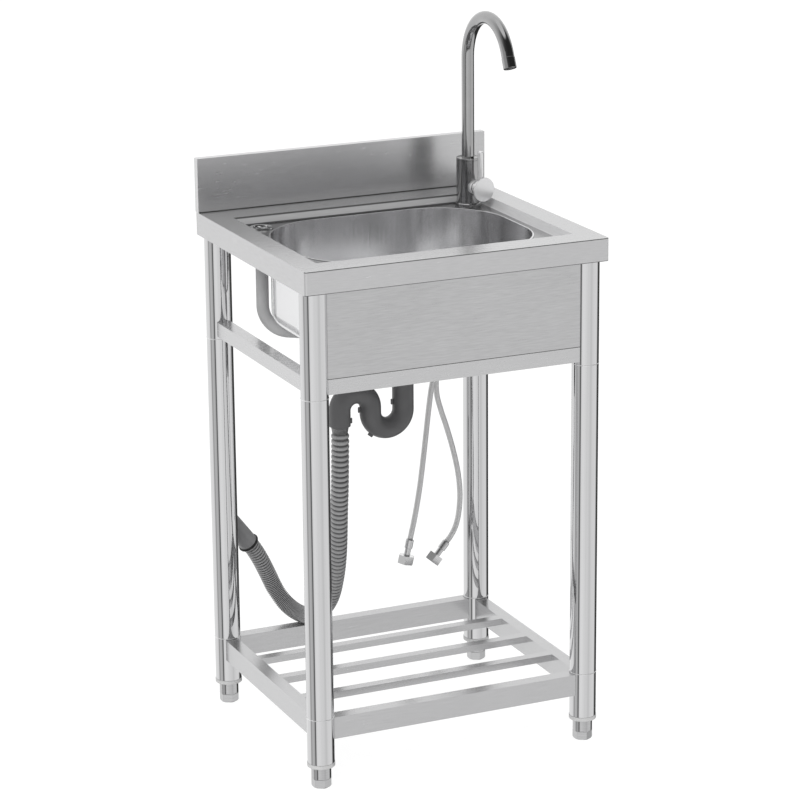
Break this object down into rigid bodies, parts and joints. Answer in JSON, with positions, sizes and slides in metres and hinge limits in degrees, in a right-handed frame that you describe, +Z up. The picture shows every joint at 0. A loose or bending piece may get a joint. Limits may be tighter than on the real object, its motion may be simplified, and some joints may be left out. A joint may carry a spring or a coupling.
{
  "type": "free-standing kitchen sink unit",
  "caption": "Free-standing stainless sink with a rounded bowl in a pressed deck, splashback, tube stand with slatted shelf, gooseneck mixer tap, trap and drain hose.",
  "frame": {"origin": "on the floor under the centre of the deck's footprint", "axes": "+X to the viewer's right when facing the front, -Y the front, +Y the wall side, +Z up"},
  "size_m": [0.5, 0.4902, 1.131],
  "materials": {
    "deck_steel": "fine straight grain",
    "bowl_steel": "satin, upright grain",
    "panel_steel": "fine level grain",
    "rail_steel": "fine grain along the tube",
    "leg_steel": "bright polished tube",
    "sleeve_steel": "plain",
    "foot_steel": "bright turned",
    "insert_plastic": "smooth",
    "waste_steel": "polished",
    "seal_rubber": "matte",
    "waste_plastic": "satin moulded",
    "overflow_chrome": "polished",
    "trap_plastic": "satin moulded",
    "hose_plastic": "satin, corrugated",
    "cuff_plastic": "satin moulded",
    "tap_chrome": "polished",
    "nut_steel": "plain",
    "stem_brass": "turned",
    "braid_steel": "fine wire braid",
    "union_chrome": "plated"
  },
  "bodies": {
    "stand": {"deck": "deck_steel", "splashback": "deck_steel", "bowl": "bowl_steel", "front_panel": "panel_steel", "top_rail_front": "rail_steel", "top_rail_left": "rail_steel", "top_rail_right": "rail_steel", "upper_leg_fl": "leg_steel", "upper_leg_fr": "leg_steel", "upper_leg_rl": "leg_steel", "upper_leg_rr": "leg_steel", "middle_leg_fl": "leg_steel", "middle_leg_fr": "leg_steel", "middle_leg_rl": "leg_steel", "middle_leg_rr": "leg_steel", "lower_leg_fl": "leg_steel", "lower_leg_fr": "leg_steel", "lower_leg_rl": "leg_steel", "lower_leg_rr": "leg_steel", "leg_sleeves": "sleeve_steel", "shelf_rail_front": "rail_steel", "shelf_rail_rear": "rail_steel", "shelf_rail_left": "rail_steel", "shelf_rail_right": "rail_steel", "shelf_slats": "rail_steel", "foot_inserts": "insert_plastic", "strainer_body": "waste_steel", "strainer_gasket": "seal_rubber", "strainer_nut": "waste_plastic", "overflow_grille": "overflow_chrome", "overflow_nut": "waste_plastic", "overflow_pipe": "waste_plastic", "trap_nut": "trap_plastic", "trap_seal": "seal_rubber", "trap_u_bend": "trap_plastic", "trap_arch": "trap_plastic", "hose_adaptor": "trap_plastic", "drain_hose": "hose_plastic", "drain_cuff": "cuff_plastic", "tap_base": "tap_chrome", "tap_body": "tap_chrome", "tap_top_ring": "tap_chrome", "tap_nut": "nut_steel", "cold_hose": "braid_steel", "cold_tail": "nut_steel", "cold_nut": "union_chrome", "hot_hose": "braid_steel", "hot_tail": "nut_steel", "hot_nut": "union_chrome"},
    "foot_front_left": {"foot_fl": "foot_steel"},
    "foot_front_right": {"foot_fr": "foot_steel"},
    "foot_rear_left": {"foot_rl": "foot_steel"},
    "foot_rear_right": {"foot_rr": "foot_steel"},
    "basket": {"strainer_basket": "waste_steel"},
    "swivel_spout": {"spout": "tap_chrome", "aerator": "tap_chrome"},
    "mixer": {"mixer_stem": "stem_brass", "mixer_pin": "nut_steel"},
    "handle": {"handle": "tap_chrome", "handle_lever": "tap_chrome"}
  },
  "joints": [
    {"name": "foot_screw_front_left", "type": "slide", "parent": "stand", "child": "foot_front_left", "axis": [0, 0, 1], "range_m": [-0.02, 0.0075]},
    {"name": "foot_screw_front_right", "type": "slide", "parent": "stand", "child": "foot_front_right", "axis": [0, 0, 1], "range_m": [-0.02, 0.0075]},
    {"name": "foot_screw_rear_left", "type": "slide", "parent": "stand", "child": "foot_rear_left", "axis": [0, 0, 1], "range_m": [-0.02, 0.0075]},
    {"name": "foot_screw_rear_right", "type": "slide", "parent": "stand", "child": "foot_rear_right", "axis": [0, 0, 1], "range_m": [-0.02, 0.0075]},
    {"name": "basket_lift", "type": "slide", "parent": "stand", "child": "basket", "axis": [0, 0, 1], "range_m": [0, 0.06]},
    {"name": "spout_swivel", "type": "hinge", "parent": "stand", "child": "swivel_spout", "pos_m": [0.179, 0.124, 1], "axis": [0, 0, 1], "continuous": true},
    {"name": "mixer_turn", "type": "hinge", "parent": "stand", "child": "mixer", "pos_m": [0.179, 0.124, 0.8408], "axis": [0.1736, -0.9848, 0], "range_deg": [-45, 45]},
    {"name": "handle_tilt", "type": "hinge", "parent": "mixer", "child": "handle", "pos_m": [0.18421, 0.09446, 0.8408], "axis": [0.9848, 0.1736, 0], "range_deg": [0, 14]}
  ]
}
